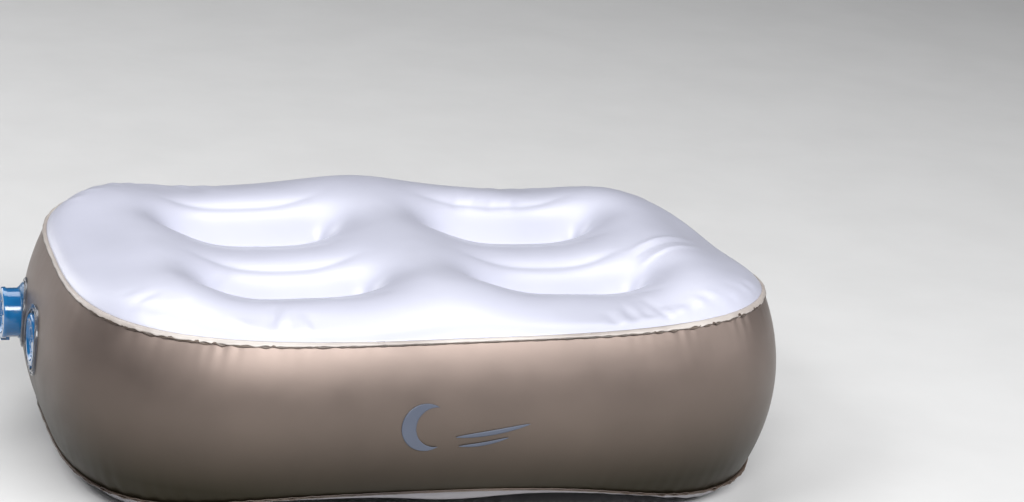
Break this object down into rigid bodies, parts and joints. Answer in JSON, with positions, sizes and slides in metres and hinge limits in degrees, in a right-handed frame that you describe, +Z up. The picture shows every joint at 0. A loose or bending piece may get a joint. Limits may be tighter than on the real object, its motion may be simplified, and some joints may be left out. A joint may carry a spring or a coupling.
{
  "type": "inflatable camp pillow",
  "caption": "Air-filled camp pillow: dimpled film panels, bulged side wall, inner tie webs and push-in end valves with flip caps.",
  "frame": {"origin": "on the ground, under the middle of the pillow's seam outline, on the bottom panel's flat resting face", "axes": "+X along the length, away from the valve end; +Y across the width, towards the back; +Z up"},
  "size_m": [0.4121, 0.296, 0.12],
  "materials": {
    "top_film": "satin white film with a silvery lilac cast",
    "bottom_film": "satin light grey film",
    "wall_film": "satin taupe film with soft highlights",
    "web_film": "satin",
    "flange_plastic": "clear grey plastic",
    "valve_plastic": "see-through blue plastic, glossy",
    "flap_film": "clear film"
  },
  "bodies": {
    "pillow": {"top_panel": "top_film", "bottom_panel": "bottom_film", "side_wall": "wall_film", "tie_web_front_left": "web_film", "tie_web_back_left": "web_film", "tie_web_front_right": "web_film", "tie_web_back_right": "web_film", "rear_valve_flange": "flange_plastic", "rear_valve_skirt": "valve_plastic", "front_valve_flange": "flange_plastic", "front_valve_skirt": "valve_plastic"},
    "rear_stem": {"rear_valve_stem": "valve_plastic"},
    "rear_cap": {"rear_valve_cap": "valve_plastic"},
    "rear_flap": {"rear_valve_flap": "flap_film"},
    "front_stem": {"front_valve_stem": "valve_plastic"},
    "front_cap": {"front_valve_cap": "valve_plastic"},
    "front_flap": {"front_valve_flap": "flap_film"}
  },
  "joints": [
    {"name": "rear_valve_push", "type": "slide", "parent": "pillow", "child": "rear_stem", "axis": [-1, 0, 0], "range_m": [-0.0105, 0], "deforming": ["rear_valve_skirt"]},
    {"name": "rear_cap_flip", "type": "hinge", "parent": "rear_stem", "child": "rear_cap", "pos_m": [-0.21104, 0.042, 0.04755], "axis": [0, -1, 0], "range_deg": [0, 165]},
    {"name": "rear_flap_open", "type": "hinge", "parent": "rear_stem", "child": "rear_flap", "pos_m": [-0.19904, 0.042, 0.0724], "axis": [0, -1, 0], "range_deg": [0, 40], "stiffness_Nm_per_rad": 0.0015},
    {"name": "front_valve_push", "type": "slide", "parent": "pillow", "child": "front_stem", "axis": [-1, 0, 0], "range_m": [0, 0.0105], "deforming": ["front_valve_skirt"]},
    {"name": "front_cap_flip", "type": "hinge", "parent": "front_stem", "child": "front_cap", "pos_m": [-0.20185, -0.003, 0.04755], "axis": [0, -1, 0], "range_deg": [0, 165]},
    {"name": "front_flap_open", "type": "hinge", "parent": "front_stem", "child": "front_flap", "pos_m": [-0.18985, -0.003, 0.0724], "axis": [0, -1, 0], "range_deg": [0, 40], "stiffness_Nm_per_rad": 0.0015}
  ]
}
